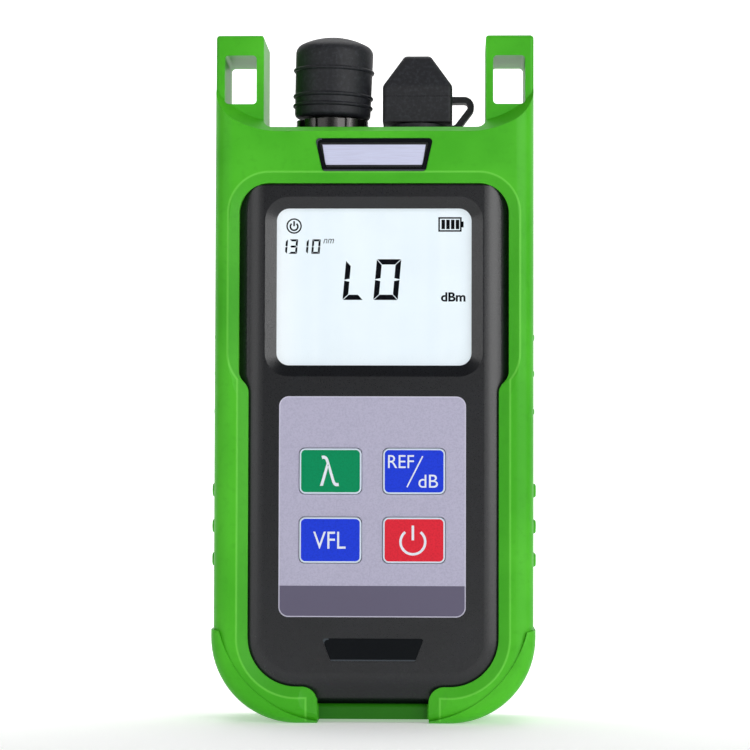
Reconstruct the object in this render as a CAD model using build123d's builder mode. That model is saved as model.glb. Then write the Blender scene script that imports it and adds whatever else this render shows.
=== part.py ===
# Handheld optical power meter in a rubber boot, every piece at its real size, in millimetres.
# It stands upright: +X is to the right of the person who reads it, -Y is its front, +Z is up,
# and the origin is the middle of its base.
from build123d import *
from math import atan, cos, degrees, radians, tan
import os

os.makedirs("parts", exist_ok=True)

# Running gaps and fits
boot_fit = 0.1             # stretched boot to case
case_gap = 0.1             # trapped piece to its seat
key_gap = 0.15             # key to the hole it moves in
door_gap = 0.25            # battery door to its opening
glue_gap = 0.05            # lens, film or plate to the face it is stuck on
thread_gap = 0.02          # screw to its pilot hole
ferrule_gap = 0.01         # plug's ferrule to its bore
cap_gap = 0.3              # soft cap to the metal it covers
past = 20.0                # how far a cut runs on past the piece that it cuts
bury = 0.7                 # how far a post or rib runs into the wall that carries it
tiny = 0.01                # picks out edges and faces by where they lie

# Case
case_half_width = 37.8
case_low = 2.6             # the boot's sole under the case
case_height = 146.9
case_front = -15.2
case_corner_radius = 18.5
case_front_radius = 10.0
case_back_radius = 8.0
case_wall = 2.0
step_drop = 14.3           # over this height the case's front steps back under the boot's band
step_depth = 2.4
parting = -1.0             # depth where the two shells meet
case_high = case_low + case_height
step_low = case_high - step_drop
step_front = case_front + step_depth

# Batteries and the stack in front of them, which sets the case's depth
board_behind_wall = 6.0    # room for display and keys before the board
board_thickness = 1.6
board_to_bay = 1.6         # room for the board's screw heads
bay_floor_thickness = 1.5
cell_radius = 7.25
cell_to_door = 1.5
door_thickness = 1.8
inner_wall = case_front + case_wall
board_front = inner_wall + board_behind_wall
board_back = board_front + board_thickness
bay_underside = board_back + board_to_bay
bay_floor = bay_underside + bay_floor_thickness
cell_middle = bay_floor + case_gap + cell_radius
door_inner = cell_middle + cell_radius + cell_to_door
case_back = door_inner + door_thickness
case_depth = case_back - case_front

# Rubber boot
boot_side_wall = 2.5
boot_front_wall = 1.0
boot_back_wall = 0.8
boot_edge_radius = 4.6
band_over_case = 0.7
base_relief = 1.0          # height of the base between the bumpers
bumper_rise = 0.3          # bumper skin beyond the boot's front and back
bumper_swell = 0.5         # bumper skin beyond the boot's sides
bumper_over_corner = 1.9   # bumper's top over the middle of the boot's round corner
bumper_edge_radius = 3.4
crease_inset = 1.7         # crease's upper end to the boot's side
crease_width = 4.5         # crease to the boot's round corner
crease_low = 0.6
boot_half_width = case_half_width + boot_side_wall
boot_front = case_front - boot_front_wall
boot_back = case_back + boot_back_wall
boot_depth = boot_back - boot_front
boot_corner_radius = case_corner_radius + case_low
boot_corner_middle = boot_half_width - boot_corner_radius
band_top = case_high + band_over_case
bumper_top = boot_corner_radius + bumper_over_corner

# Strap hoops
hoop_height = 23.8
hoop_width = 12.1
hoop_step = 4.7            # a hoop's front and back faces lie this far inside the boot's
hoop_hole_width = 8.1
hoop_hole_sill = 6.2       # from the band's top to the hole
hoop_bridge = 5.2          # rubber over the hole
hoop_hole_shift = 0.15     # the hole lies a little nearer to the middle
hoop_corner_radius = 1.0
hoop_edge_radius = 0.9
notch_radius = 2.3
scoop_radius = 24.0        # the crease that sweeps up from the band to a hoop's side
scoop_drop = 1.3           # the crease starts this far below the band's top
scoop_inset = 4.2          # and this far from the hoop's inner side
scoop_sweep = 60.0         # degrees of the sweep
scoop_slope = 33.0         # degrees between the sweep's wall and the front-to-back line
hoop_top = band_top + hoop_height
hoop_inner = boot_half_width - hoop_width
hoop_hole_low = band_top + hoop_hole_sill
hoop_hole_high = hoop_top - hoop_bridge
hoop_hole_middle = boot_half_width - hoop_width / 2 - hoop_hole_shift

# Opening in the boot's front, seen from the front
opening_overlap = 3.8      # boot over the case's sides
opening_jog = 2.5          # narrower below the display
opening_over_step = 0.6
opening_foot = 6.6         # boot over the case's foot
opening_top_radius = 7.6
opening_bottom_radius = 12.3
jog_height = 2.8
jog_radius = 3.6
nose_radius = 3.9
nose_flat = 1.3            # straight edge between a bumper's nose and the round corner
sill_rise = 2.2            # low wall between the noses, over the case's foot
sill_inset = 3.0
sill_radius = 1.2
lip_width = 2.8
lip_depth = 0.7
opening_upper_half = case_half_width - opening_overlap
opening_lower_half = opening_upper_half - opening_jog
nose_half = opening_lower_half - opening_bottom_radius - nose_radius - nose_flat
opening_top = step_low + opening_over_step
opening_bottom = case_low + opening_foot
sill_top = case_low + sill_rise
sill_front = boot_front + sill_inset

# Openings in the boot's back and, between the hoops, in its top
back_overlap = 4.8
back_foot = 13.4
back_head = 7.3
back_radius = 9.0
top_margin = 1.6
top_rim = 2.8
top_radius = 3.0
back_half_width = case_half_width - back_overlap
back_low = case_low + back_foot
back_high = case_high - back_head
top_half_depth = case_depth / 2 - top_rim

# Hand grips on the sides
grip_low = 30.2
grip_high = 69.2
grip_depth = 0.4
grip_half_depth = 11.0
rib_heights = (58.4, 49.3, 40.9)
rib_height = 3.5
rib_rise = 0.7             # beyond the boot's side
rib_edge_radius = 0.5
small_rib_heights = (97.2, 88.0, 78.4)
small_rib_height = 1.3
small_rib_rise = 0.3
small_rib_edge_radius = 0.2

# Display, between the keypad and the boot's band
overlay_rise = 24.0        # keypad film from the case's foot
overlay_height = 55.4
overlay_below_display = 5.0
recess_below_opening = 3.4
recess_side = 6.55         # from the opening's upper sides
recess_radius = 6.0
recess_band = 2.85         # width of the bevel round the display
recess_depth = 1.6
lens_thickness = 1.0
lens_margin = 2.0          # lens past the opening it covers
glass_thickness = 2.0
frame_wall = 1.0
recess_half_width = opening_upper_half - recess_side
recess_high = opening_top - recess_below_opening
recess_low = case_low + overlay_rise + overlay_height + overlay_below_display
jog_high = recess_low
jog_low = jog_high - jog_height
window_half_width = recess_half_width - recess_band
window_low = recess_low + recess_band
window_high = recess_high - recess_band
window_radius = recess_radius - recess_band

# Keypad
overlay_middle = -0.25
overlay_half_width = 23.5
overlay_radius = 2.5
overlay_pocket = 0.35
overlay_thickness = 0.25
key_width = 15.6
key_height = 11.45
key_radius = 1.5
key_edge_radius = 0.15
key_half_pitch = 10.5
key_rise = 27.95           # from the film's foot to midway between the rows
key_row_pitch = 17.3
key_proud = 0.35           # key face beyond the film
key_travel = 0.4
key_flange = 1.0           # flange past the key, all round
key_flange_thickness = 1.0
key_rest_gap = 0.1
dome_clearance = 0.1       # left between dome and key when the key is down
dome_radius = 3.6
dome_top_radius = 2.2
dome_wall = 0.6
mat_thickness = 1.2
mat_margin = 2.6           # rubber mat past the keys
overlay_low = case_low + overlay_rise
overlay_high = overlay_low + overlay_height
key_middle = overlay_low + key_rise
key_upper = key_middle + key_row_pitch / 2
key_lower = key_middle - key_row_pitch / 2
mat_half_width = key_half_pitch + key_width / 2 + mat_margin
mat_low = key_lower - key_height / 2 - mat_margin
mat_high = key_upper + key_height / 2 + mat_margin

# Plates without print
nameplate_over_opening = 2.9
nameplate_height = 8.4
nameplate_half_low = 13.05
nameplate_half_high = 14.9
nameplate_rim = 1.05
nameplate_pocket = 0.8
nameplate_proud = 0.15
nameplate_inset = 0.3
nameplate_radius = 0.9
model_rise = 13.0          # from the case's foot
model_height = 5.7
model_half_low = 10.65
model_half_high = 12.8
model_pocket = 0.45
model_thickness = 0.25
model_radius = 0.5
nameplate_low = opening_top + nameplate_over_opening
nameplate_high = nameplate_low + nameplate_height
model_low = case_low + model_rise
model_high = model_low + model_height

# Boards and screws
board_side_gap = 7.8       # board to the case's inner side
board_below_overlay = 1.0
board_over_recess = 1.8
board_screw_inset = 5.0
board_screw_rise = 5.0
board_screw_below_display = 10.4
board_screw_radius = 0.9
board_screw_depth = 4.0
board_post_radius = 2.0
board_head_radius = 1.8
board_head_height = 1.2
case_screw_inset = 8.8
case_screw_foot = 19.4
case_screw_head = 11.9
case_screw_radius = 1.2
case_screw_depth = 8.0
case_post_radius = 2.75
case_head_radius = 2.2
case_head_height = 1.7
case_head_depth = 9.4      # screw heads' seats, in from the back
case_hole_gap = 0.2
case_counterbore_gap = 0.25
case_counterbore_wall = 1.0
board_half_width = case_half_width - case_wall - board_side_gap
board_low = overlay_low - board_below_overlay
board_high = recess_high + board_over_recess
board_screw_x = board_half_width - board_screw_inset
board_screw_heights = (board_low + board_screw_rise, recess_low - board_screw_below_display)
case_screw_x = case_half_width - case_screw_inset
case_screw_heights = (case_low + case_screw_foot, case_high - case_screw_head)
case_head_seat = case_back - case_head_depth
case_hole_radius = case_screw_radius + case_hole_gap
case_counterbore_radius = case_head_radius + case_counterbore_gap

# Chips behind the board: place across, drop from its upper edge, width, height and depth of each
chips = (
    (-11.0, 22.2, 12.0, 12.0, 1.4),
    (6.0, 21.2, 6.0, 5.0, 1.4),
    (-16.0, 8.7, 11.0, 4.5, 3.4),
    (4.5, 8.2, 5.0, 4.0, 1.2),
)
socket_x = -9.0            # a long connector just over the battery bay
socket_rise = 3.8
socket_width = 22.0
socket_height = 4.5
socket_depth = 3.2
buzzer_inset = 8.0         # buzzer from the board's side
buzzer_rise = 8.8          # and over the battery bay
buzzer_radius = 6.0
buzzer_depth = 5.0

# Batteries
cell_length = 50.5
cell_edge_radius = 0.5
cell_nub_radius = 2.75
cell_nub_height = 1.0
cell_pitch = 14.9
bay_rise = 28.9            # from the case's foot
bay_side_gap = 0.55
bay_wall = 3.2
spring_wire = 0.35
spring_radius = 2.6
spring_turns = 3
spring_length = 5.0
contact_thickness = 0.4
contact_half_width = 4.0
contact_half_depth = 4.5
door_overlap = 2.0         # door past the bay, all round
door_radius = 3.0
door_seat = 0.1
tab_half_width = 4.0
tab_middle = 14.0
tab_reach = 2.2
tab_thickness = 1.5
tab_slot_gap = 0.6
latch_half_width = 5.0
latch_height = 8.0
latch_slot = 0.8
latch_ridges = 3
latch_ridge_pitch = 1.6
latch_ridge_height = 0.3
bay_half_width = cell_pitch + cell_radius + bay_side_gap
bay_low = case_low + bay_rise
bay_high = bay_low + cell_length + spring_length + 2 * (contact_thickness + glue_gap) + case_gap
bay_top = bay_high + bay_wall
buzzer_x = board_half_width - buzzer_inset
buzzer_middle = bay_top + buzzer_rise

# Ports on the top
panel_margin = 2.0         # panel past the case's top opening
panel_thickness = 1.5
panel_front_gap = 0.3
ledge_thickness = 1.2      # ledges that hold the panel up
ledge_half_depth = 8.0
ledge_lip = 0.2            # past the top hole's ends
port_side_gap = 4.5        # round port's flange to the top hole's end
top_hole_half_depth = 9.6
ferrule_radius = 1.25
port_bore_depth = 12.0
port_window_radius = 0.8
port_collar_radius = 2.0   # sleeve round the ferrule's bore
port_groove_radius = 3.1
port_groove_depth = 4.0
port_key_slot = 2.15
detector_x = -11.2
detector_flange_radius = 9.3
detector_flange_height = 5.85
detector_notches = 10
detector_notch_width = 2.4
detector_notch_depth = 1.0
detector_barrel_radius = 5.8
detector_barrel_height = 5.2
detector_thread_radius = 4.0
detector_thread_height = 6.5
detector_thread_pitch = 0.75
detector_thread_depth = 0.4
detector_stem_radius = 6.0
detector_stem_length = 8.4
photodiode_radius = 4.1
photodiode_height = 5.0
locator_x = 10.8
locator_flange_radius = 7.0
locator_flange_height = 2.95
locator_barrel_radius = 4.5
locator_barrel_height = 12.1
locator_stem_radius = 5.0
locator_stem_length = 10.4
laser_radius = 3.9
laser_length = 20.0
laser_inset = 6.0
laser_tail = 8.0
laser_tail_radius = 3.1
nut_thickness = 2.4
nut_margin = 2.6
top_hole_half_width = detector_flange_radius + port_side_gap - detector_x
top_half_width = top_hole_half_width + top_margin
panel_top = case_high - case_wall - case_gap
panel_low = panel_top - panel_thickness
port_low = panel_top + glue_gap
detector_flange_top = port_low + detector_flange_height
detector_barrel_top = detector_flange_top + detector_barrel_height
detector_top = detector_barrel_top + detector_thread_height
detector_stem_low = port_low - detector_stem_length
locator_flange_top = port_low + locator_flange_height
locator_top = locator_flange_top + locator_barrel_height
locator_stem_low = port_low - locator_stem_length

# Round dust cap
cap_radius = 10.0
cap_foot_radius = 9.75
cap_foot_edge = 1.2
cap_over_flange = 0.6
cap_height = 21.1
cap_dome = 2.9
cap_shoulder_radius = 2.6
cap_lean = 1.8             # degrees; the soft cap sits a little askew
cap_ring_heights = (12.3, 5.6, 3.1)
cap_ring_radius = 0.5

# Rectangular dust cap with its strap
block_half_width = 8.9
block_half_depth = 6.5
block_over_flange = 2.2
block_shoulder = 9.2       # heights from the block's foot
block_height = 17.3
block_top_half_width = 3.3
block_top_half_depth = 3.6
block_top_radius = 1.5
block_shoulder_radius = 2.0
block_edge_radius = 1.1
block_seam = 6.4
block_seam_depth = 0.2
strap_thickness = 1.6
strap_half_depth = 2.2
strap_rise = 6.1
strap_reach = 6.6          # strap's outer corner from the block's side
strap_foot = 1.0
strap_bend = 1.8
ring_width = 2.6
cap_low = detector_flange_top + cap_over_flange
block_low = locator_flange_top + block_over_flange
ring_low = locator_flange_top + case_gap


def facing(y):
    # A drawing plane across the meter at depth y, seen from the front and reaching forwards.
    return Plane.XZ.offset(-y)


def slab_outline(half_width, low, high, low_radius):
    # An upright slab seen from the front, with two large round lower corners.
    with BuildLine() as outline:
        FilletPolyline(
            (-half_width, high), (-half_width, low), (half_width, low), (half_width, high),
            radius=low_radius,
        )
        Line((half_width, high), (-half_width, high))
    make_face(outline.edges())


def window_outline(half_width, low, high, radius, middle=0.0):
    # A rounded rectangle between two heights.
    with Locations((middle, (low + high) / 2)):
        RectangleRounded(2 * half_width, high - low, radius)


def plate_outline(half_low, half_high, low, high, radius, mode=Mode.ADD):
    # A small plate that is wider at its top.
    with BuildLine() as outline:
        FilletPolyline(
            (-half_low, low), (half_low, low), (half_high, high), (-half_high, high),
            radius=radius, close=True,
        )
    make_face(outline.edges(), mode=mode)


def opening_outline(low):
    # The boot's front opening: wide above, a jog on each side, and two noses at its foot.
    right = [
        (nose_half, low),
        (nose_half, opening_bottom),
        (opening_lower_half, opening_bottom),
        (opening_lower_half, jog_low),
        (opening_upper_half, jog_high),
        (opening_upper_half, opening_top),
    ]
    left = [(-x, z) for x, z in reversed(right)]
    bends = [nose_radius, opening_bottom_radius, jog_radius, jog_radius, opening_top_radius]
    with BuildLine() as outline:
        FilletPolyline(*right, *left, radius=bends + bends[::-1])
        Line(left[-1], right[0])
    make_face(outline.edges())


def case_block(growth):
    # The case's whole outer form, grown or shrunk evenly.
    with BuildPart() as block:
        with BuildSketch(facing(case_back + growth)):
            slab_outline(
                case_half_width + growth, case_low - growth, case_high + growth,
                case_corner_radius + growth,
            )
        extrude(amount=case_depth + 2 * growth)
        below_top = block.edges().filter_by_position(Axis.Z, -1, case_high + growth - tiny)
        fillet(below_top.group_by(Axis.Y)[0], radius=case_front_radius + growth)
        below_top = block.edges().filter_by_position(Axis.Z, -1, case_high + growth - tiny)
        fillet(below_top.group_by(Axis.Y)[-1], radius=case_back_radius + growth)
        with BuildSketch(facing(step_front - growth)):
            window_outline(
                case_half_width + past, step_low + growth, case_high + past, case_wall / 2
            )
        extrude(amount=past, mode=Mode.SUBTRACT)
    return block.part


case_outer = case_block(0)
case_hollow = case_block(-case_wall)
boot_pocket = case_block(boot_fit)

# The corner bumpers: a thicker skin on the boot's two lower corners, outside a curved crease
with BuildPart() as bumper_skin:
    with BuildSketch(facing(boot_back + bumper_rise)):
        slab_outline(
            boot_half_width + bumper_swell, 0, bumper_top + past, boot_corner_radius + bumper_swell
        )
    extrude(amount=boot_depth + 2 * bumper_rise)
    below_top = bumper_skin.edges().filter_by_position(Axis.Z, -1, bumper_top + past - tiny)
    fillet(below_top.group_by(Axis.Y)[0] + below_top.group_by(Axis.Y)[-1], radius=bumper_edge_radius)
    with BuildSketch(facing(boot_back + past)):
        reach = (boot_corner_radius - crease_width) * cos(radians(45))
        for side in (-1, 1):
            with BuildLine():
                crease = ThreePointArc(
                    (side * (boot_half_width - crease_inset), bumper_top),
                    (side * (boot_corner_middle + reach), boot_corner_radius - reach),
                    (side * nose_half, crease_low),
                )
                outer_x = side * (boot_half_width + past)
                Polyline(
                    crease @ 1, (side * nose_half, -past), (outer_x, -past),
                    (outer_x, bumper_top + crease_width), crease @ 0,
                )
            make_face()
    extrude(amount=boot_depth + 2 * past, mode=Mode.INTERSECT)

# What is cut away where the hoops step back from the boot's faces along a sweeping slope
with BuildPart() as hoop_scoop:
    scoop_x = hoop_inner - scoop_inset
    scoop_middle = band_top - scoop_drop + scoop_radius
    deep_radius = scoop_radius - hoop_step * tan(radians(scoop_slope))
    with BuildSketch(facing(boot_front + hoop_step)):
        with BuildLine():
            rise = CenterArc((scoop_x, scoop_middle), deep_radius, 270, scoop_sweep)
            fall = CenterArc((-scoop_x, scoop_middle), deep_radius, 270 - scoop_sweep, scoop_sweep)
            Line(fall @ 1, rise @ 0)
            side_x = boot_half_width + past
            Polyline(
                rise @ 1, (side_x, (rise @ 1).Y), (side_x, hoop_top + past),
                (-side_x, hoop_top + past), (-side_x, (fall @ 0).Y), fall @ 0,
            )
        make_face()
    extrude(amount=hoop_step + 1, taper=-scoop_slope)
    mirror(about=facing((boot_front + boot_back) / 2))

# Rubber boot: one moulding with its hoops, front lip, grips and bumpers
with BuildPart() as protective_boot:
    with BuildSketch(facing(boot_back)):
        slab_outline(boot_half_width, 0, hoop_top, boot_corner_radius)
    extrude(amount=boot_depth)
    below_top = protective_boot.edges().filter_by_position(Axis.Z, -1, hoop_top - tiny)
    fillet(below_top.group_by(Axis.Y)[0] + below_top.group_by(Axis.Y)[-1], radius=boot_edge_radius)
    add(bumper_skin.part)

    # the gap between the hoops, and their step back
    with BuildSketch(facing(boot_back + past)):
        window_outline(hoop_inner, band_top, hoop_top + past, notch_radius)
    extrude(amount=boot_depth + 2 * past, mode=Mode.SUBTRACT)
    add(hoop_scoop.part, mode=Mode.SUBTRACT)

    # the strap holes
    with BuildSketch(facing(boot_back + past)):
        for side in (-1, 1):
            window_outline(
                hoop_hole_width / 2, hoop_hole_low, hoop_hole_high, hoop_corner_radius,
                side * hoop_hole_middle,
            )
    extrude(amount=boot_depth + 2 * past, mode=Mode.SUBTRACT)

    # the pocket that the case sits in, and the openings that show it
    add(boot_pocket, mode=Mode.SUBTRACT)
    with BuildSketch(facing(parting)):
        opening_outline(sill_top)
    extrude(amount=boot_depth, mode=Mode.SUBTRACT)
    with BuildSketch(facing(boot_back + past)):
        window_outline(back_half_width, back_low, back_high, back_radius)
    extrude(amount=boot_back + past - parting, mode=Mode.SUBTRACT)
    with BuildSketch(Plane.XY.offset(case_high - case_wall)):
        RectangleRounded(2 * top_half_width, 2 * top_half_depth, top_radius)
    extrude(amount=band_top - case_high + case_wall, mode=Mode.SUBTRACT)

    # the low sill between the noses, and the sloping lip round the opening
    with BuildSketch(facing(sill_front)):
        opening_outline(-past)
    extrude(amount=boot_depth, mode=Mode.SUBTRACT)
    with BuildSketch(facing(boot_front + lip_depth)):
        opening_outline(-past)
    extrude(amount=2 * lip_depth, taper=-degrees(atan(lip_width / lip_depth)), mode=Mode.SUBTRACT)
    with BuildSketch(facing(boot_back + past)):
        Rectangle(2 * nose_half, 2 * base_relief)
    extrude(amount=boot_depth + 2 * past, mode=Mode.SUBTRACT)

    # the hand grips, each a shallow recess with cross ribs
    for side in (-1, 1):
        outward = Plane(origin=(0, 0, 0), x_dir=(0, side, 0), z_dir=(side, 0, 0))
        with BuildSketch(outward.offset(boot_half_width - grip_depth)):
            window_outline(grip_half_depth, grip_low, grip_high, rib_height / 2)
        extrude(amount=past, mode=Mode.SUBTRACT)
        with BuildSketch(outward.offset(boot_half_width - bury)):
            for height in rib_heights:
                window_outline(
                    grip_half_depth - rib_height / 2, height - rib_height / 2,
                    height + rib_height / 2, 0.49 * rib_height,
                )
        extrude(amount=bury + rib_rise)
        with BuildSketch(outward.offset(boot_half_width - bury)):
            for height in small_rib_heights:
                window_outline(
                    grip_half_depth - rib_height / 2, height - small_rib_height / 2,
                    height + small_rib_height / 2, 0.49 * small_rib_height,
                )
        extrude(amount=bury + small_rib_rise)

    # the pocket for the nameplate
    with BuildSketch(facing(boot_front + nameplate_pocket)):
        plate_outline(
            nameplate_half_low, nameplate_half_high, nameplate_low, nameplate_high,
            nameplate_radius,
        )
    extrude(amount=boot_depth, mode=Mode.SUBTRACT)

    # the edges that the mould rounds
    over_hoops = protective_boot.edges().filter_by(
        lambda edge: edge.bounding_box().min.Z > hoop_top - tiny
    )
    hoop_sides = protective_boot.edges().filter_by(Axis.Z).filter_by(
        lambda edge: edge.center().Z > band_top and abs(edge.center().X) > boot_half_width - tiny
    )
    fillet(over_hoops + hoop_sides, radius=hoop_edge_radius)
    sill_edge = protective_boot.edges().sort_by_distance((0, sill_front, sill_top))[0]
    fillet(sill_edge, radius=sill_radius)
    for rise, radius in ((rib_rise, rib_edge_radius), (small_rib_rise, small_rib_edge_radius)):
        crowns = protective_boot.faces().filter_by(
            lambda face: abs(abs(face.center().X) - boot_half_width - rise) < tiny
        )
        fillet(crowns.edges(), radius=radius)

protective_boot.part.label = "protective_boot"
export_step(protective_boot.part, "parts/protective_boot.step")

# Depths of what is stacked behind the case's front wall, from the front
pocket_floor = case_front + overlay_pocket
film_front = pocket_floor - glue_gap - overlay_thickness
key_front = film_front - key_proud
flange_front = inner_wall + key_rest_gap
flange_back = flange_front + key_flange_thickness
dome_top = flange_back + key_travel + dome_clearance
lens_front = inner_wall + glue_gap
glass_front = lens_front + lens_thickness + glue_gap
backlight_front = glass_front + glass_thickness + glue_gap
key_places = {
    "wavelength_key": (overlay_middle - key_half_pitch, key_upper),
    "reference_key": (overlay_middle + key_half_pitch, key_upper),
    "locator_key": (overlay_middle - key_half_pitch, key_lower),
    "power_key": (overlay_middle + key_half_pitch, key_lower),
}
board_screw_spots = [(x, z) for x in (-board_screw_x, board_screw_x) for z in board_screw_heights]
case_screw_spots = [(x, z) for x in (-case_screw_x, case_screw_x) for z in case_screw_heights]

# The hollow case before it is parted: ledges for the port panel, and the opening over it
with BuildPart() as case_shell:
    add(case_outer)
    add(case_hollow, mode=Mode.SUBTRACT)
    with BuildSketch(Plane.XY.offset(panel_low - case_gap - ledge_thickness)):
        ledge_end = case_half_width - case_wall / 2
        ledge_start = top_hole_half_width - ledge_lip
        for side in (-1, 1):
            with Locations((side * (ledge_start + ledge_end) / 2, 0)):
                Rectangle(ledge_end - ledge_start, 2 * ledge_half_depth)
    extrude(amount=ledge_thickness)
    with BuildSketch(Plane.XY.offset(case_high - case_wall - bury)):
        Rectangle(2 * top_hole_half_width, 2 * top_hole_half_depth)
    extrude(amount=past, mode=Mode.SUBTRACT)

# Front shell: the bevelled display recess, the keypad pocket, posts for the board and screws
with BuildPart() as front_case:
    add(case_shell.part)
    split(bisect_by=facing(parting), keep=Keep.TOP)
    with BuildSketch(facing(board_front)):
        with Locations(*board_screw_spots):
            Circle(board_post_radius)
    extrude(amount=board_behind_wall + bury)
    for x, z in case_screw_spots:
        wall_face = case_front if z < step_low else step_front
        with BuildSketch(facing(parting)):
            with Locations((x, z)):
                Circle(case_post_radius)
        extrude(amount=parting - wall_face - case_wall + bury)
    with BuildSketch(facing(board_front)):
        with Locations(*board_screw_spots):
            Circle(board_screw_radius + thread_gap)
    extrude(amount=board_screw_depth + bury, mode=Mode.SUBTRACT)
    with BuildSketch(facing(parting)):
        with Locations(*case_screw_spots):
            Circle(case_screw_radius + thread_gap)
    extrude(amount=case_screw_depth + bury, mode=Mode.SUBTRACT)
    with BuildSketch(facing(case_front + recess_depth)):
        window_outline(window_half_width, window_low, window_high, window_radius)
    bevel_angle = degrees(atan(recess_band / recess_depth))
    extrude(amount=recess_depth + glue_gap, taper=-bevel_angle, mode=Mode.SUBTRACT)
    with BuildSketch(facing(inner_wall + bury)):
        window_outline(window_half_width, window_low, window_high, window_radius)
    extrude(amount=case_wall, mode=Mode.SUBTRACT)
    with BuildSketch(facing(pocket_floor)):
        window_outline(
            overlay_half_width + glue_gap, overlay_low - glue_gap, overlay_high + glue_gap,
            overlay_radius, overlay_middle,
        )
    extrude(amount=case_wall, mode=Mode.SUBTRACT)
    with BuildSketch(facing(inner_wall + bury)):
        with Locations(*key_places.values()):
            RectangleRounded(key_width + 2 * key_gap, key_height + 2 * key_gap, key_radius)
    extrude(amount=case_wall + bury, mode=Mode.SUBTRACT)
    with BuildSketch(facing(case_front + model_pocket)):
        plate_outline(model_half_low, model_half_high, model_low, model_high, model_radius)
    extrude(amount=case_wall, mode=Mode.SUBTRACT)

front_case.part.label = "front_case"
export_step(front_case.part, "parts/front_case.step")

# The door and its tabs, in the case's back
door_half_width = bay_half_width + door_overlap
door_low = bay_low - door_overlap
door_high = bay_high + door_overlap
tab_outer = case_back - case_wall - case_gap
tab_inner = tab_outer - tab_thickness

# Back shell: the battery bay with its ledge, screw posts with sunk seats, slots for the door's tabs
with BuildPart() as rear_case:
    add(case_shell.part)
    split(bisect_by=facing(parting), keep=Keep.BOTTOM)
    with BuildSketch(facing(case_back - bury)):
        window_outline(
            bay_half_width + bay_wall, bay_low - bay_wall, bay_top, door_radius
        )
    extrude(amount=case_back - bury - bay_underside)
    with BuildSketch(facing(case_back - bury)):
        with Locations(*case_screw_spots):
            Circle(case_counterbore_radius + case_counterbore_wall)
    extrude(amount=case_back - bury - parting)
    with BuildSketch(facing(case_back + past)):
        window_outline(
            door_half_width + door_gap, door_low - door_gap, door_high + door_gap,
            door_radius + door_gap,
        )
    extrude(amount=past + door_thickness + door_seat, mode=Mode.SUBTRACT)
    with BuildSketch(facing(case_back)):
        window_outline(bay_half_width, bay_low, bay_high, door_gap)
    extrude(amount=case_back - bay_floor, mode=Mode.SUBTRACT)
    with BuildSketch(facing(tab_outer + case_gap / 2)):
        for side in (-1, 1):
            window_outline(
                tab_half_width + tab_slot_gap, door_low - tab_reach - tab_slot_gap,
                bay_low + case_gap, door_gap / 2, side * tab_middle,
            )
    extrude(amount=tab_thickness + 2 * tab_slot_gap, mode=Mode.SUBTRACT)
    with BuildSketch(facing(case_back)):
        for side in (-1, 1):
            window_outline(
                tab_half_width + tab_slot_gap, door_low - door_gap, bay_low + case_gap,
                door_gap / 2, side * tab_middle,
            )
    extrude(amount=case_back - tab_inner, mode=Mode.SUBTRACT)
    with BuildSketch(facing(case_back)):
        with Locations(*case_screw_spots):
            Circle(case_counterbore_radius)
    extrude(amount=case_head_depth, mode=Mode.SUBTRACT)
    with BuildSketch(facing(case_back)):
        with Locations(*case_screw_spots):
            Circle(case_hole_radius)
    extrude(amount=case_back - parting, mode=Mode.SUBTRACT)

rear_case.part.label = "rear_case"
export_step(rear_case.part, "parts/rear_case.step")

# Battery door: two tabs at its foot, a sprung latch tongue at its head with finger ridges
with BuildPart() as battery_door:
    with BuildSketch(facing(case_back)):
        window_outline(door_half_width, door_low, door_high, door_radius)
    extrude(amount=door_thickness)
    tab_root = bay_low + case_gap
    with BuildSketch(facing(door_inner + bury)):
        for side in (-1, 1):
            window_outline(
                tab_half_width, tab_root, tab_root + tab_thickness, case_gap, side * tab_middle
            )
    extrude(amount=door_inner + bury - tab_inner)
    with BuildSketch(facing(tab_outer)):
        for side in (-1, 1):
            window_outline(
                tab_half_width, door_low - tab_reach, tab_root + tab_thickness, case_gap,
                side * tab_middle,
            )
    extrude(amount=tab_thickness)
    with BuildSketch(facing(case_back + past)):
        slot_x = latch_half_width + latch_slot / 2
        slot_middle = door_high - latch_height + past / 2
        with Locations((-slot_x, slot_middle), (slot_x, slot_middle)):
            RectangleRounded(latch_slot, past, 0.49 * latch_slot)
    extrude(amount=past + 2 * door_thickness, mode=Mode.SUBTRACT)
    with BuildSketch(facing(case_back + latch_ridge_height)):
        for step in range(latch_ridges):
            with Locations((0, door_high - latch_ridge_pitch * (step + 1))):
                SlotOverall(2 * latch_half_width - latch_ridge_pitch, latch_slot)
    extrude(amount=2 * latch_ridge_height)

battery_door.part.label = "battery_door"
export_step(battery_door.part, "parts/battery_door.step")

# Lens, panel and backlight, held in a plain frame against the board
with BuildPart() as display_window:
    with BuildSketch(facing(lens_front + lens_thickness)):
        window_outline(
            window_half_width + lens_margin, window_low - lens_margin,
            window_high + lens_margin, window_radius,
        )
    extrude(amount=lens_thickness)

display_window.part.label = "display_window"
export_step(display_window.part, "parts/display_window.step")

with BuildPart() as display_glass:
    with BuildSketch(facing(glass_front + glass_thickness)):
        window_outline(
            window_half_width + lens_margin, window_low - lens_margin,
            window_high + lens_margin, case_gap,
        )
    extrude(amount=glass_thickness)

display_glass.part.label = "display_glass"
export_step(display_glass.part, "parts/display_glass.step")

with BuildPart() as backlight_panel:
    with BuildSketch(facing(board_front - glue_gap)):
        window_outline(
            window_half_width + lens_margin, window_low - lens_margin,
            window_high + lens_margin, case_gap,
        )
    extrude(amount=board_front - glue_gap - backlight_front)

backlight_panel.part.label = "backlight_panel"
export_step(backlight_panel.part, "parts/backlight_panel.step")

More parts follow.
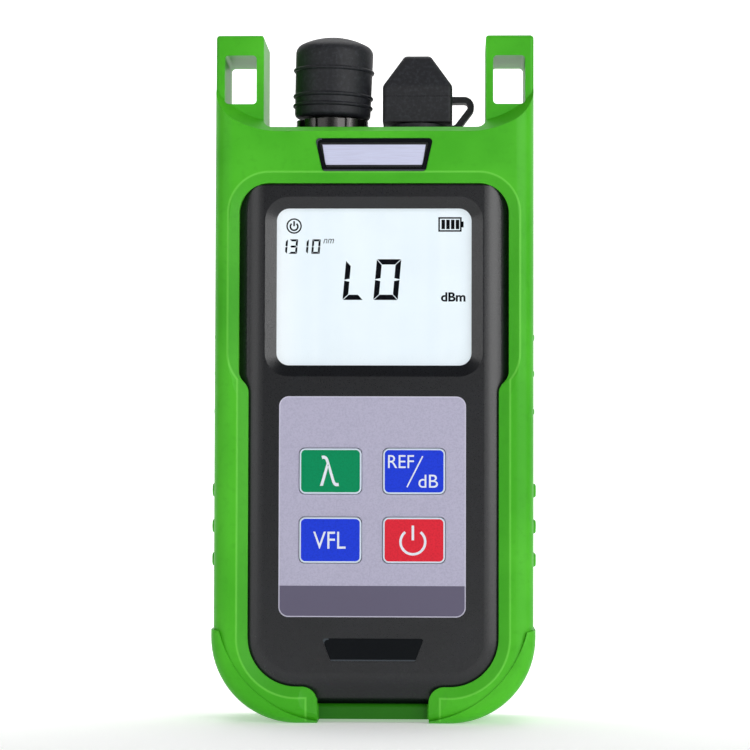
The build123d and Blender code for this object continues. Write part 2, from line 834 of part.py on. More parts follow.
with BuildPart() as display_frame:
    frame_reach = lens_margin + case_gap
    with BuildSketch(facing(board_front - glue_gap)):
        window_outline(
            window_half_width + frame_reach + frame_wall, window_low - frame_reach - frame_wall,
            window_high + frame_reach + frame_wall, frame_wall,
        )
        with Locations((0, (window_low + window_high) / 2)):
            Rectangle(
                2 * (window_half_width + frame_reach),
                window_high - window_low + 2 * frame_reach, mode=Mode.SUBTRACT,
            )
    extrude(amount=board_front - glue_gap - lens_front)

display_frame.part.label = "display_frame"
export_step(display_frame.part, "parts/display_frame.step")

# Keypad: the printed film, four keys with hidden flanges, and the rubber mat under them
with BuildPart() as keypad_overlay:
    with BuildSketch(facing(pocket_floor - glue_gap)):
        window_outline(
            overlay_half_width, overlay_low, overlay_high, overlay_radius, overlay_middle
        )
        with Locations(*key_places.values()):
            RectangleRounded(
                key_width + 2 * key_gap, key_height + 2 * key_gap, key_radius,
                mode=Mode.SUBTRACT,
            )
    extrude(amount=overlay_thickness)

keypad_overlay.part.label = "keypad_overlay"
export_step(keypad_overlay.part, "parts/keypad_overlay.step")

for key_name, key_place in key_places.items():
    with BuildPart() as key:
        with BuildSketch(facing(flange_back)):
            with Locations(key_place):
                RectangleRounded(
                    key_width + 2 * key_flange, key_height + 2 * key_flange, key_radius
                )
        extrude(amount=key_flange_thickness)
        with BuildSketch(facing(flange_back)):
            with Locations(key_place):
                RectangleRounded(key_width, key_height, key_radius)
        extrude(amount=flange_back - key_front)
        fillet(key.faces().sort_by(Axis.Y)[0].edges(), radius=key_edge_radius)
    key.part.label = key_name
    export_step(key.part, f"parts/{key_name}.step")

with BuildPart() as key_dome_mat:
    mat_back = board_front - glue_gap
    with BuildSketch(facing(mat_back)):
        window_outline(mat_half_width, mat_low, mat_high, key_radius, overlay_middle)
    extrude(amount=mat_thickness)
    for place in key_places.values():
        with BuildSketch(facing(mat_back)):
            with Locations(place):
                Circle(dome_radius)
        with BuildSketch(facing(dome_top)):
            with Locations(place):
                Circle(dome_top_radius)
        loft()
    for place in key_places.values():
        with BuildSketch(facing(board_front)):
            with Locations(place):
                Circle(dome_radius - dome_wall)
        with BuildSketch(facing(dome_top + dome_wall)):
            with Locations(place):
                Circle(dome_top_radius - dome_wall)
        loft(mode=Mode.SUBTRACT)

key_dome_mat.part.label = "key_dome_mat"
export_step(key_dome_mat.part, "parts/key_dome_mat.step")

# Nameplate in the boot's band: a black rim round a bare metal insert
nameplate_floor = boot_front + nameplate_pocket - glue_gap
nameplate_front = boot_front - nameplate_proud
with BuildPart() as nameplate_bezel:
    with BuildSketch(facing(nameplate_floor)):
        plate_outline(
            nameplate_half_low - case_gap, nameplate_half_high - case_gap,
            nameplate_low + case_gap, nameplate_high - case_gap, nameplate_radius,
        )
        plate_outline(
            nameplate_half_low - nameplate_rim, nameplate_half_high - nameplate_rim,
            nameplate_low + nameplate_rim, nameplate_high - nameplate_rim,
            nameplate_radius / 2, mode=Mode.SUBTRACT,
        )
    extrude(amount=nameplate_floor - nameplate_front)

nameplate_bezel.part.label = "nameplate_bezel"
export_step(nameplate_bezel.part, "parts/nameplate_bezel.step")

with BuildPart() as nameplate_insert:
    insert_rim = nameplate_rim + glue_gap
    with BuildSketch(facing(nameplate_floor)):
        plate_outline(
            nameplate_half_low - insert_rim, nameplate_half_high - insert_rim,
            nameplate_low + insert_rim, nameplate_high - insert_rim, nameplate_radius / 2,
        )
    extrude(amount=nameplate_floor - nameplate_front - nameplate_inset)

nameplate_insert.part.label = "nameplate_insert"
export_step(nameplate_insert.part, "parts/nameplate_insert.step")

with BuildPart() as model_plate:
    with BuildSketch(facing(case_front + model_pocket - glue_gap)):
        plate_outline(
            model_half_low - glue_gap, model_half_high - glue_gap, model_low + glue_gap,
            model_high - glue_gap, model_radius,
        )
    extrude(amount=model_thickness)

model_plate.part.label = "model_plate"
export_step(model_plate.part, "parts/model_plate.step")

# Board, the parts soldered to its back, and the screws that hold it
with BuildPart() as main_board:
    with BuildSketch(facing(board_back)):
        window_outline(board_half_width, board_low, board_high, board_post_radius)
        with Locations(*board_screw_spots):
            Circle(board_screw_radius + case_gap, mode=Mode.SUBTRACT)
    extrude(amount=board_thickness)

main_board.part.label = "main_board"
export_step(main_board.part, "parts/main_board.step")

with BuildPart() as board_components:
    for x, drop, width, height, depth in chips:
        with BuildSketch(facing(board_back + glue_gap + depth)):
            with Locations((x, board_high - drop)):
                RectangleRounded(width, height, case_gap)
        extrude(amount=depth)
    with BuildSketch(facing(board_back + glue_gap + socket_depth)):
        with Locations((socket_x, bay_top + socket_rise)):
            RectangleRounded(socket_width, socket_height, case_gap)
    extrude(amount=socket_depth)

board_components.part.label = "board_components"
export_step(board_components.part, "parts/board_components.step")

with BuildPart() as buzzer:
    buzzer_back = board_back + glue_gap + buzzer_depth
    with BuildSketch(facing(buzzer_back)):
        with Locations((buzzer_x, buzzer_middle)):
            Circle(buzzer_radius)
    extrude(amount=buzzer_depth)
    with BuildSketch(facing(buzzer_back)):
        with Locations((buzzer_x, buzzer_middle)):
            Circle(buzzer_radius / 5)
    extrude(amount=buzzer_depth / 2, mode=Mode.SUBTRACT)

buzzer.part.label = "buzzer"
export_step(buzzer.part, "parts/buzzer.step")

with BuildPart() as board_screws:
    head_front = board_back + glue_gap
    with BuildSketch(facing(head_front + board_head_height)):
        with Locations(*board_screw_spots):
            Circle(board_head_radius)
    extrude(amount=board_head_height)
    with BuildSketch(facing(head_front)):
        with Locations(*board_screw_spots):
            Circle(board_screw_radius)
    extrude(amount=head_front - board_front + board_screw_depth)
    with BuildSketch(facing(head_front + board_head_height)):
        with Locations(*board_screw_spots):
            Rectangle(board_screw_radius * 2, board_screw_radius / 2)
            Rectangle(board_screw_radius / 2, board_screw_radius * 2)
    extrude(amount=board_head_height / 2, mode=Mode.SUBTRACT)

board_screws.part.label = "board_screws"
export_step(board_screws.part, "parts/board_screws.step")

with BuildPart() as case_screws:
    with BuildSketch(facing(case_head_seat + glue_gap + case_head_height)):
        with Locations(*case_screw_spots):
            Circle(case_head_radius)
    extrude(amount=case_head_height)
    with BuildSketch(facing(case_head_seat + glue_gap)):
        with Locations(*case_screw_spots):
            Circle(case_screw_radius)
    extrude(amount=case_head_seat + glue_gap - parting + case_screw_depth)
    with BuildSketch(facing(case_head_seat + glue_gap + case_head_height)):
        with Locations(*case_screw_spots):
            Rectangle(case_screw_radius * 2, case_screw_radius / 2)
            Rectangle(case_screw_radius / 2, case_screw_radius * 2)
    extrude(amount=case_head_height / 2, mode=Mode.SUBTRACT)

case_screws.part.label = "case_screws"
export_step(case_screws.part, "parts/case_screws.step")

# Three cells side by side, turned end for end in the bay, with a spring at each flat end
plate_low = bay_low + glue_gap
plate_high = bay_high - glue_gap - contact_thickness
cell_foot = bay_low + glue_gap + contact_thickness + glue_gap
for number, turned in ((1, False), (2, True), (3, False)):
    # an upright cell stands on its spring, and a turned one on its nub
    with BuildPart() as battery:
        can_length = cell_length - cell_nub_height
        can_low = cell_foot + cell_nub_height if turned else cell_foot + spring_length
        nub_low = cell_foot if turned else can_low + can_length - cell_edge_radius
        cell_x = cell_pitch * (number - 2)
        with BuildSketch(Plane.XY.offset(can_low)):
            with Locations((cell_x, cell_middle)):
                Circle(cell_radius)
        extrude(amount=can_length)
        fillet(battery.edges().filter_by(GeomType.CIRCLE), radius=cell_edge_radius)
        with BuildSketch(Plane.XY.offset(nub_low)):
            with Locations((cell_x, cell_middle)):
                Circle(cell_nub_radius)
        extrude(amount=cell_nub_height + cell_edge_radius)
    battery.part.label = f"battery_{number}"
    export_step(battery.part, f"parts/battery_{number}.step")

with BuildPart() as contact_springs:
    coil_height = spring_length - 1.5 * spring_wire
    for number, turned in ((1, False), (2, True), (3, False)):
        cell_x = cell_pitch * (number - 2)
        plate_level = plate_high if turned else plate_low
        coil_low = plate_low + contact_thickness + spring_wire / 2
        if turned:
            coil_low = plate_high - spring_length + spring_wire
        with BuildSketch(Plane.XY.offset(plate_level)):
            with Locations((cell_x, cell_middle)):
                Rectangle(2 * contact_half_width, 2 * contact_half_depth)
        extrude(amount=contact_thickness)
        with BuildLine():
            coil = Helix(
                coil_height / spring_turns, coil_height, spring_radius,
                center=(cell_x, cell_middle, coil_low),
            )
        with BuildSketch(Plane(origin=coil @ 0, z_dir=coil % 0)):
            Circle(spring_wire)
        sweep(path=coil, is_frenet=True)

contact_springs.part.label = "contact_springs"
export_step(contact_springs.part, "parts/contact_springs.step")

with BuildPart() as contact_plates:
    for number, turned in ((1, False), (2, True), (3, False)):
        plate_level = plate_low if turned else plate_high
        with BuildSketch(Plane.XY.offset(plate_level)):
            with Locations((cell_pitch * (number - 2), cell_middle)):
                Rectangle(2 * contact_half_width, 2 * contact_half_depth)
        extrude(amount=contact_thickness)

contact_plates.part.label = "contact_plates"
export_step(contact_plates.part, "parts/contact_plates.step")

# Panel under the case's top that carries both ports
with BuildPart() as port_panel:
    panel_half_depth = -(step_front + case_wall + panel_front_gap)
    with BuildSketch(Plane.XY.offset(panel_low)):
        Rectangle(2 * (top_hole_half_width + panel_margin), 2 * panel_half_depth)
        with Locations((detector_x, 0)):
            Circle(detector_stem_radius + case_gap, mode=Mode.SUBTRACT)
        with Locations((locator_x, 0)):
            Circle(locator_stem_radius + case_gap, mode=Mode.SUBTRACT)
    extrude(amount=panel_thickness)

port_panel.part.label = "port_panel"
export_step(port_panel.part, "parts/port_panel.step")

# Detector port: notched flange, smooth barrel, threaded nose with a slot for the plug's key
with BuildPart() as detector_port_body:
    with BuildSketch(Plane.XY.offset(detector_stem_low)):
        with Locations((detector_x, 0)):
            Circle(detector_stem_radius)
    extrude(amount=detector_stem_length + bury)
    with BuildSketch(Plane.XY.offset(port_low)):
        with Locations((detector_x, 0)):
            Circle(detector_flange_radius)
            with PolarLocations(detector_flange_radius, detector_notches):
                Rectangle(2 * detector_notch_depth, detector_notch_width, mode=Mode.SUBTRACT)
    extrude(amount=detector_flange_height)
    with BuildSketch(Plane.XY.offset(detector_flange_top)):
        with Locations((detector_x, 0)):
            Circle(detector_barrel_radius)
    extrude(amount=detector_barrel_height)
    core_x = detector_x + detector_thread_radius - detector_thread_depth
    thread_profile = [(detector_x, detector_barrel_top)]
    for turn in range(int(detector_thread_height / detector_thread_pitch)):
        root_z = detector_barrel_top + detector_thread_pitch * turn
        crest_z = root_z + detector_thread_pitch / 2
        thread_profile += [(core_x, root_z), (core_x + detector_thread_depth, crest_z)]
    thread_profile += [
        (core_x, crest_z + detector_thread_pitch / 2), (core_x, detector_top),
        (detector_x, detector_top),
    ]
    with BuildSketch(Plane.XZ):
        with BuildLine():
            Polyline(*thread_profile, close=True)
        make_face()
    revolve(axis=Axis((detector_x, 0, 0), (0, 0, 1)))
    with BuildSketch(Plane.XY.offset(detector_top)):
        with Locations((detector_x, 0)):
            Circle(port_groove_radius)
            Circle(port_collar_radius, mode=Mode.SUBTRACT)
        with Locations((detector_x, -detector_thread_radius)):
            Rectangle(port_key_slot, 2 * (detector_thread_radius - port_groove_radius) + case_gap)
    extrude(amount=-port_groove_depth, mode=Mode.SUBTRACT)
    with BuildSketch(Plane.XY.offset(detector_top)):
        with Locations((detector_x, 0)):
            Circle(ferrule_radius + ferrule_gap)
    extrude(amount=-port_bore_depth, mode=Mode.SUBTRACT)
    with BuildSketch(Plane.XY.offset(detector_stem_low)):
        with Locations((detector_x, 0)):
            Circle(port_window_radius)
    extrude(amount=detector_top - detector_stem_low, mode=Mode.SUBTRACT)
    with BuildSketch(Plane.XY.offset(detector_stem_low)):
        with Locations((detector_x, 0)):
            Circle(photodiode_radius + case_gap)
    extrude(amount=photodiode_height + case_gap, mode=Mode.SUBTRACT)

detector_port_body.part.label = "detector_port_body"
export_step(detector_port_body.part, "parts/detector_port_body.step")

with BuildPart() as detector_nut:
    with BuildSketch(Plane.XY.offset(panel_low - glue_gap - nut_thickness)):
        with Locations((detector_x, 0)):
            RegularPolygon(detector_stem_radius + nut_margin, 6)
            Circle(detector_stem_radius + thread_gap, mode=Mode.SUBTRACT)
    extrude(amount=nut_thickness)

detector_nut.part.label = "detector_nut"
export_step(detector_nut.part, "parts/detector_nut.step")

with BuildPart() as photodiode:
    with BuildSketch(Plane.XY.offset(detector_stem_low)):
        with Locations((detector_x, 0)):
            Circle(photodiode_radius)
    extrude(amount=photodiode_height)

photodiode.part.label = "photodiode"
export_step(photodiode.part, "parts/photodiode.step")

# Locator port: plain barrel with the same ferrule bore, and the laser that shines up into it
with BuildPart() as locator_port_body:
    with BuildSketch(Plane.XY.offset(locator_stem_low)):
        with Locations((locator_x, 0)):
            Circle(locator_stem_radius)
    extrude(amount=locator_stem_length + bury)
    with BuildSketch(Plane.XY.offset(port_low)):
        with Locations((locator_x, 0)):
            Circle(locator_flange_radius)
    extrude(amount=locator_flange_height)
    with BuildSketch(Plane.XY.offset(locator_flange_top)):
        with Locations((locator_x, 0)):
            Circle(locator_barrel_radius)
    extrude(amount=locator_barrel_height)
    with BuildSketch(Plane.XY.offset(locator_top)):
        with Locations((locator_x, 0)):
            Circle(ferrule_radius + ferrule_gap)
    extrude(amount=-port_bore_depth, mode=Mode.SUBTRACT)
    with BuildSketch(Plane.XY.offset(locator_stem_low)):
        with Locations((locator_x, 0)):
            Circle(port_window_radius)
    extrude(amount=locator_top - locator_stem_low, mode=Mode.SUBTRACT)
    with BuildSketch(Plane.XY.offset(locator_stem_low)):
        with Locations((locator_x, 0)):
            Circle(laser_radius + case_gap)
    extrude(amount=laser_inset + case_gap, mode=Mode.SUBTRACT)

locator_port_body.part.label = "locator_port_body"
export_step(locator_port_body.part, "parts/locator_port_body.step")

with BuildPart() as locator_nut:
    with BuildSketch(Plane.XY.offset(panel_low - glue_gap - nut_thickness)):
        with Locations((locator_x, 0)):
            RegularPolygon(locator_stem_radius + nut_margin, 6)
            Circle(locator_stem_radius + thread_gap, mode=Mode.SUBTRACT)
    extrude(amount=nut_thickness)

locator_nut.part.label = "locator_nut"
export_step(locator_nut.part, "parts/locator_nut.step")

with BuildPart() as laser_module:
    laser_low = locator_stem_low + laser_inset - laser_length
    with BuildSketch(Plane.XY.offset(laser_low)):
        with Locations((locator_x, 0)):
            Circle(laser_tail_radius)
    extrude(amount=laser_length)
    with BuildSketch(Plane.XY.offset(laser_low + laser_tail)):
        with Locations((locator_x, 0)):
            Circle(laser_radius)
    extrude(amount=laser_length - laser_tail)

laser_module.part.label = "laser_module"
export_step(laser_module.part, "parts/laser_module.step")

# Round dust cap: a ringed rubber thimble that leans a little over its straight bore
with BuildPart() as thimble:
    dome_foot = cap_height - cap_dome
    with BuildSketch(Plane.XZ):
        with BuildLine():
            dome = TangentArc((0, cap_height), (cap_radius, dome_foot), tangent=(1, 0))
            Polyline(dome @ 1, (cap_foot_radius, 0), (0, 0), dome @ 0)
        make_face()
    revolve(axis=Axis.Z)
    rims = thimble.edges().filter_by(GeomType.CIRCLE).sort_by(Axis.Z)
    fillet(rims[0], radius=cap_foot_edge)
    rims = thimble.edges().filter_by_position(Axis.Z, dome_foot - tiny, dome_foot + tiny)
    fillet(rims, radius=cap_shoulder_radius)
    for height in cap_ring_heights:
        ring_radius = cap_foot_radius + (cap_radius - cap_foot_radius) * height / dome_foot
        with Locations((0, 0, height)):
            Torus(ring_radius, cap_ring_radius)

with BuildPart() as detector_cap:
    with Locations((detector_x, 0, cap_low)):
        add(thimble.part, rotation=(0, cap_lean, 0))
    with BuildSketch(Plane.XY.offset(detector_flange_top)):
        with Locations((detector_x, 0)):
            Circle(detector_barrel_radius + cap_gap)
    extrude(amount=detector_barrel_height + cap_gap, mode=Mode.SUBTRACT)
    with BuildSketch(Plane.XY.offset(detector_barrel_top)):
        with Locations((detector_x, 0)):
            Circle(detector_thread_radius + cap_gap)
    extrude(amount=detector_thread_height + cap_gap, mode=Mode.SUBTRACT)

detector_cap.part.label = "detector_cap"
export_step(detector_cap.part, "parts/detector_cap.step")


def hood_outline(half_width, top_half_width):
    # A hood seen from one side: upright to its shoulders, then sloping to a narrow top.
    with BuildLine() as outline:
        FilletPolyline(
            (-half_width, 0), (-half_width, block_shoulder), (-top_half_width, block_height),
            (top_half_width, block_height), (half_width, block_shoulder), (half_width, 0),
            radius=[
                block_shoulder_radius, block_top_radius, block_top_radius, block_shoulder_radius,
            ],
        )
        Line((half_width, 0), (-half_width, 0))
    make_face(outline.edges())


# Rectangular dust cap: a tapered hood, its strap and the ring round the port in one moulding
with BuildPart() as hood:
    with BuildSketch(facing(block_half_depth)):
        hood_outline(block_half_width, block_top_half_width)
    extrude(amount=2 * block_half_depth)
    with BuildSketch(Plane.YZ):
        hood_outline(block_half_depth, block_top_half_depth)
    extrude(amount=2 * block_half_width, both=True, mode=Mode.INTERSECT)
    fillet(hood.edges().filter_by(Axis.Z), radius=block_edge_radius)
    with BuildSketch(Plane.XY.offset(block_seam)):
        Rectangle(4 * block_half_width, 4 * block_half_depth)
        RectangleRounded(
            2 * (block_half_width - block_seam_depth), 2 * (block_half_depth - block_seam_depth),
            block_edge_radius, mode=Mode.SUBTRACT,
        )
    extrude(amount=block_seam_depth, mode=Mode.SUBTRACT)

with BuildPart() as locator_cap:
    with Locations((locator_x, 0, block_low)):
        add(hood.part)
    ring_inner = locator_barrel_radius + cap_gap
    ring_outer = ring_inner + ring_width
    block_side = locator_x + block_half_width
    strap_high = block_low + strap_rise
    strap_low = ring_low + strap_thickness / 2
    with BuildSketch(facing(strap_half_depth)):
        with BuildLine():
            FilletPolyline(
                (block_side - bury, strap_high), (block_side + strap_reach, strap_high),
                (block_side + strap_foot, strap_low), (locator_x + ring_outer - bury, strap_low),
                radius=strap_bend,
            )
        trace(line_width=strap_thickness)
    extrude(amount=2 * strap_half_depth)
    with BuildSketch(Plane.XY.offset(ring_low)):
        with Locations((locator_x, 0)):
            Circle(ring_outer)
            Circle(ring_inner, mode=Mode.SUBTRACT)
    extrude(amount=strap_thickness)
    with BuildSketch(Plane.XY.offset(locator_flange_top)):
        with Locations((locator_x, 0)):
            Circle(ring_inner)
    extrude(amount=locator_barrel_height + cap_gap, mode=Mode.SUBTRACT)

locator_cap.part.label = "locator_cap"
export_step(locator_cap.part, "parts/locator_cap.step")
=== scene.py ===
# Looks of a handheld optical power meter in a rubber boot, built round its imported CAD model.
import math
import bpy
import numpy as np
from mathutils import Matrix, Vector


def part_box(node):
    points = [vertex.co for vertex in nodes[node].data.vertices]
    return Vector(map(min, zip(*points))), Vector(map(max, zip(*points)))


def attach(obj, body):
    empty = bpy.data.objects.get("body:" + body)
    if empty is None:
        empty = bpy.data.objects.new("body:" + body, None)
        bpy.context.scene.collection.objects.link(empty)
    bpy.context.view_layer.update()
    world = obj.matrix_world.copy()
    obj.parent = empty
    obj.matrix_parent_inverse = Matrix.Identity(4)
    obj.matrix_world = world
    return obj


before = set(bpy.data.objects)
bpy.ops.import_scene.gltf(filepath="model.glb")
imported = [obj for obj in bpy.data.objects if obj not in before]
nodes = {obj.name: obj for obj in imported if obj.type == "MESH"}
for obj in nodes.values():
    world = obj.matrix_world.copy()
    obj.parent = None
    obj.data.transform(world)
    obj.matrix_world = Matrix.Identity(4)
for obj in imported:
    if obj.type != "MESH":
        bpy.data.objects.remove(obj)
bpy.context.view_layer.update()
print("frame loaded:", len(nodes), "nodes")


def linear(red, green, blue):  # screen colour from 0 to 255 -> the linear colour that shaders use
    parts = np.array([red, green, blue]) / 255
    curve = np.where(parts > 0.04045, ((parts + 0.055) / 1.055) ** 2.4, parts / 12.92)
    return (*[float(part) for part in curve], 1.0)


class Value:
    # One socket of a material. Plain arithmetic on it adds the Math nodes.
    def __init__(self, finish, socket):
        self.finish = finish
        self.socket = socket

    def math(self, operation, *others, first=None, clamp=False):
        parts = (self, *others) if first is None else (first, self)
        return self.finish.node(
            "ShaderNodeMath", {"operation": operation, "use_clamp": clamp}, dict(enumerate(parts))
        )

    def __add__(self, other):
        return self.math("ADD", other)

    def __sub__(self, other):
        return self.math("SUBTRACT", other)

    def __rsub__(self, other):
        return self.math("SUBTRACT", first=other)

    def __mul__(self, other):
        return self.math("MULTIPLY", other)

    def __truediv__(self, other):
        return self.math("DIVIDE", other)

    def __rtruediv__(self, other):
        return self.math("DIVIDE", first=other)

    def __pow__(self, other):
        return self.math("POWER", other)

    def __lt__(self, other):
        return self.math("LESS_THAN", other)

    def __gt__(self, other):
        return self.math("GREATER_THAN", other)

    def __abs__(self):
        return self.math("ABSOLUTE")

    __radd__ = __add__
    __rmul__ = __mul__

    def least(self, other):
        return self.math("MINIMUM", other)

    def most(self, other):
        return self.math("MAXIMUM", other)

    def root(self):
        return self.math("SQRT")

    def fade(self, start, end):  # 0 at start, 1 at end, smooth between
        return self.finish.node(
            "ShaderNodeMapRange", {"interpolation_type": "SMOOTHSTEP"},
            {"Value": self, "From Min": start, "From Max": end},
        )


class Finish:
    # A material: fixed numbers sit on its shader, and what varies is linked by feed().
    def __init__(self, name, **fixed):
        self.material = bpy.data.materials.new(name)
        self.material.use_nodes = True
        self.tree = self.material.node_tree
        self.tree.nodes.clear()
        output = self.tree.nodes.new("ShaderNodeOutputMaterial")
        self.shader = self.tree.nodes.new("ShaderNodeBsdfPrincipled")
        self.tree.links.new(self.shader.outputs[0], output.inputs[0])
        for key, value in fixed.items():
            self.shader.inputs[key.replace("_", " ")].default_value = value
        spot = self.node("ShaderNodeTexCoord", output="Object")
        self.spot = self.node(  # millimetres on the object
            "ShaderNodeVectorMath", {"operation": "SCALE"}, {0: spot, "Scale": 1000.0}
        )
        self.x, self.y, self.z = [
            self.node("ShaderNodeSeparateXYZ", None, {0: self.spot}, part) for part in "XYZ"
        ]

    def node(self, kind, settings=None, sockets=None, output=0):
        made = self.tree.nodes.new(kind)
        for key, value in (settings or {}).items():
            if key == "stops":
                while len(made.color_ramp.elements) < len(value):
                    made.color_ramp.elements.new(1.0)
                for element, (position, colour) in zip(made.color_ramp.elements, value):
                    element.position, element.color = position, colour
            else:
                setattr(made, key, value)
        for key, value in (sockets or {}).items():
            self.connect(value, made.inputs[key])
        return Value(self, made.outputs[output])

    def connect(self, value, socket):
        if isinstance(value, Value):
            self.tree.links.new(value.socket, socket)
        else:
            socket.default_value = value

    def feed(self, **sockets):
        for key, value in sockets.items():
            self.connect(value, self.shader.inputs[key.replace("_", " ")])
        return self

    def noise(self, perMm, detail=2.0, rough=0.5, stretch=(1.0, 1.0, 1.0)):
        where = self.spot
        if stretch != (1.0, 1.0, 1.0):
            where = self.node(
                "ShaderNodeVectorMath", {"operation": "MULTIPLY"}, {0: where, 1: stretch}
            )
        return self.node(
            "ShaderNodeTexNoise", None,
            {"Vector": where, "Scale": perMm, "Detail": detail, "Roughness": rough},
        )

    def blend(self, share, first, second):  # first where share is 0, second where it is 1
        made = self.tree.nodes.new("ShaderNodeMix")
        made.data_type = "RGBA"
        self.connect(share, made.inputs[0])
        self.connect(first, made.inputs[6])
        self.connect(second, made.inputs[7])
        return Value(self, made.outputs[2])

    def dent(self, height, depthMm, strength=1.0):
        return self.node(
            "ShaderNodeBump", None,
            {"Height": height, "Strength": strength, "Distance": depthMm / 1000},
        )

    def plate(self, middle, half, radius):
        # Millimetres outside a rounded rectangle, seen from the front, and less than 0 inside it.
        across = abs(self.x - middle[0]) - (half[0] - radius)
        up = abs(self.z - middle[1]) - (half[1] - radius)
        corner = (across.most(0.0) ** 2.0 + up.most(0.0) ** 2.0).root()
        return corner + across.most(up).least(0.0) - radius

    def wear(self, *names):
        for name in names:
            nodes[name].data.materials.clear()
            nodes[name].data.materials.append(self.material)
        return self


def nodeBox(name):  # a CAD node's lowest and highest corners, in millimetres
    low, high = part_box(name)
    return [part * 1000 for part in low], [part * 1000 for part in high]


# Boot
boot = {
    "green": (62, 168, 24), "light": (76, 184, 36), "deep": (48, 142, 16), "shade": (22, 92, 2),
    "ridgeHighlight": (118, 214, 78), "gloss": 0.42, "lipWidth": 2.8,
    "openings": (  # middle, half size and corner radius of the three parts of the front opening
        ((0, 110.6), (34.0, 25.2), 7.6),
        ((0, 54.6), (31.5, 45.4), 12.3),
        ((0, 0), (14.0, 20.0), 1.0),
    ),
}

rubber = Finish("bootRubber", Specular_IOR_Level=0.2)
cloud = rubber.noise(0.045, 2.0)
grain = rubber.noise(3.2, 3.0, 0.6)
mottle = rubber.noise(0.5, 3.0)
green = rubber.blend(cloud.fade(0.35, 0.7), linear(*boot["green"]), linear(*boot["light"]))
green = rubber.blend((mottle.fade(0.5, 0.75)) * 0.18, green, linear(*boot["deep"]))
# Painted shade: the recessed sill between the corner bumpers is darkened towards the shade colour,
# where shadow falls under the case.
sillPaintedShade = abs(rubber.x).fade(13.95, 13.4) * rubber.z.fade(5.3, 4.7) * rubber.y.fade(-8.0, -10.0)
green = rubber.blend(sillPaintedShade * 0.9, green, linear(*boot["shade"]))
fromOpening = rubber.plate(*boot["openings"][0])
for part in boot["openings"][1:]:
    fromOpening = fromOpening.least(rubber.plate(*part))
face = rubber.y.fade(-14.6, -15.2)
# Painted shade: the lip's inner slope round the opening is darkened towards the deep green.
lipSlopeShade = face * (fromOpening < boot["lipWidth"]) * 0.35
# Painted highlight: a pale ridge line along the lip's crest round the opening.
crestHighlight = face * abs(fromOpening - boot["lipWidth"]).fade(0.38, 0.12) * 0.5
green = rubber.blend(lipSlopeShade, green, linear(*boot["deep"]))
green = rubber.blend(crestHighlight, green, linear(*boot["ridgeHighlight"]))
rubber.feed(
    Base_Color=green,
    Roughness=grain * 0.12 + (boot["gloss"] - 0.06),
    Normal=rubber.dent(grain, 0.02, 0.5),
)
rubber.wear("protective_boot")
print("boot done")

# Case and display
case = {"black": (8, 10, 15), "worn": (14, 16, 23), "gloss": 0.27}


def mouldedBlack(name, colour, worn, gloss):
    made = Finish(name, Specular_IOR_Level=0.6)
    pebble = made.noise(4.5, 2.0, 0.55)
    patch = made.noise(0.08, 2.0)
    made.feed(
        Base_Color=made.blend(patch.fade(0.4, 0.75) * 0.5, linear(*colour), linear(*worn)),
        Roughness=pebble * 0.12 + (gloss - 0.04),
        Normal=made.dent(pebble, 0.012, 0.35),
    )
    return made


mouldedBlack("casePlastic", case["black"], case["worn"], case["gloss"]).wear(
    "front_case", "rear_case", "battery_door", "port_panel"
)

screen = {
    "pale": (232, 243, 249), "edge": (244, 250, 253), "streak": (208, 226, 240), "glow": 0.72,
    "back": (160, 168, 172), "backStreak": (154, 163, 170), "glass": (20, 24, 28),
    "ink": (4, 5, 8), "inkWorn": (16, 18, 25),
}

# Painted light: the screen glows with its own pale colour, which stands in for even light on it and
# lifts the shade in the window's recess; the glow is brighter towards the left edge.
crystal = Finish("displayCrystal", Roughness=0.25)
low, high = nodeBox("display_glass")
bands = crystal.noise(0.22, 2.0, 0.5, (1.0, 0.0, 0.02))
fromLeft = (crystal.x - low[0]).fade(1.0, 9.0)
paper = crystal.blend(fromLeft, linear(*screen["edge"]), linear(*screen["pale"]))
paper = crystal.blend(bands.fade(0.35, 0.7) * 0.12, paper, linear(*screen["streak"]))
crystal.feed(
    Base_Color=crystal.blend(bands, linear(*screen["back"]), linear(*screen["backStreak"])),
    Emission_Color=paper,
    Emission_Strength=screen["glow"],
    Roughness=crystal.noise(1.5) * 0.06 + 0.22,
)
crystal.wear("display_glass")

lens = Finish("clearLens", Base_Color=linear(*screen["glass"]), IOR=1.49, Specular_IOR_Level=0.25)
lens.feed(Alpha=lens.noise(0.1) * 0.02 + 0.02, Roughness=lens.noise(0.6, 3.0) * 0.05 + 0.04)
lens.wear("display_window")


def flatPiece(name, corners, faces, depth, body, material):
    # Print on a surface: corners are (across, up) in millimetres at one depth, facing the reader.
    corners = np.asarray(corners, float)
    places = np.stack([corners[:, 0], np.full(len(corners), depth), corners[:, 1]], 1) / 1000
    mesh = bpy.data.meshes.new(name)
    mesh.from_pydata(places.tolist(), [], faces)
    mesh.materials.append(material)
    mesh.update()
    flipped = [face for face in mesh.polygons if face.normal.y > 0]
    if flipped:
        mesh.flip_normals()
    piece = bpy.data.objects.new(name, mesh)
    bpy.context.scene.collection.objects.link(piece)
    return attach(piece, body)


